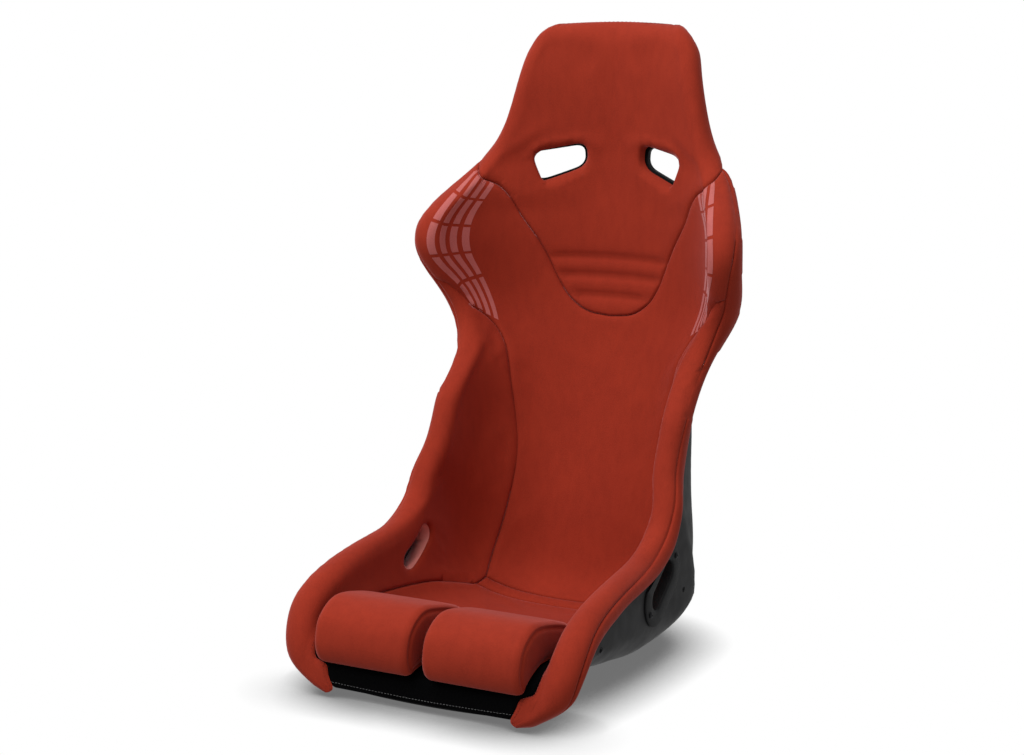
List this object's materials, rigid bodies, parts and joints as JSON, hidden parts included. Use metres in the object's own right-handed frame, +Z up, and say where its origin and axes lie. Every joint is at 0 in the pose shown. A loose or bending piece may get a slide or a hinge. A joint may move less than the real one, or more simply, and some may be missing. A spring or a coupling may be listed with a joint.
{
  "type": "racing seat",
  "caption": "Fixed-back racing bucket seat: laminate shell with fabric-covered pads, harness and belt openings, side mounts and loose thigh cushions.",
  "frame": {"origin": "under the middle of the seat's bounding box, at the height of its lowest point: on the floor, in the seat's centre plane, 76 mm behind the point midway between the front and rear side mounts", "axes": "+Z up; -Y is the way the occupant faces, so +Y is the seat's back; +X is to the right when the seat is looked at from the front. Names ending in _left lie at -X and _right at +X."},
  "size_m": [0.5358, 0.6823, 0.9066],
  "materials": {
    "laminate": "black gel-coated glass-fibre laminate, satin",
    "red_fabric": "brick-red velour over foam",
    "foam": "open-cell foam, raw",
    "black_fabric": "black hook-and-loop tape and loop fabric",
    "black_plastic": "moulded, fine grain",
    "steel": "zinc-plated, satin",
    "black_screw": "black oxide"
  },
  "bodies": {
    "seat": {"shell": "laminate", "side_insert_front_left": "steel", "side_insert_front_right": "steel", "side_insert_rear_left": "steel", "side_insert_rear_right": "steel", "harness_bezel_left": "black_plastic", "harness_bezel_right": "black_plastic", "belt_bezel_left": "black_plastic", "belt_bezel_right": "black_plastic", "bezel_screw_front_left": "black_screw", "bezel_screw_front_right": "black_screw", "bezel_screw_rear_left": "black_screw", "bezel_screw_rear_right": "black_screw", "crotch_bezel": "black_plastic", "head_pad": "red_fabric", "back_pad": "red_fabric", "base_pad": "red_fabric", "crease_roll": "red_fabric", "lip_cover": "black_fabric", "bolster_left": "red_fabric", "bolster_right": "red_fabric", "side_band_left": "red_fabric", "side_band_right": "red_fabric"},
    "thigh_cushion_left": {"thigh_cover_left": "red_fabric", "thigh_foam_left": "foam", "hook_strip_left": "black_fabric"},
    "thigh_cushion_right": {"thigh_cover_right": "red_fabric", "thigh_foam_right": "foam", "hook_strip_right": "black_fabric"}
  },
  "joints": [
    {"name": "thigh_cushion_left_lift", "type": "slide", "parent": "seat", "child": "thigh_cushion_left", "axis": [0, 0, 1], "range_m": [0, 0.12]},
    {"name": "thigh_cushion_right_lift", "type": "slide", "parent": "seat", "child": "thigh_cushion_right", "axis": [0, 0, 1], "range_m": [0, 0.12]}
  ]
}
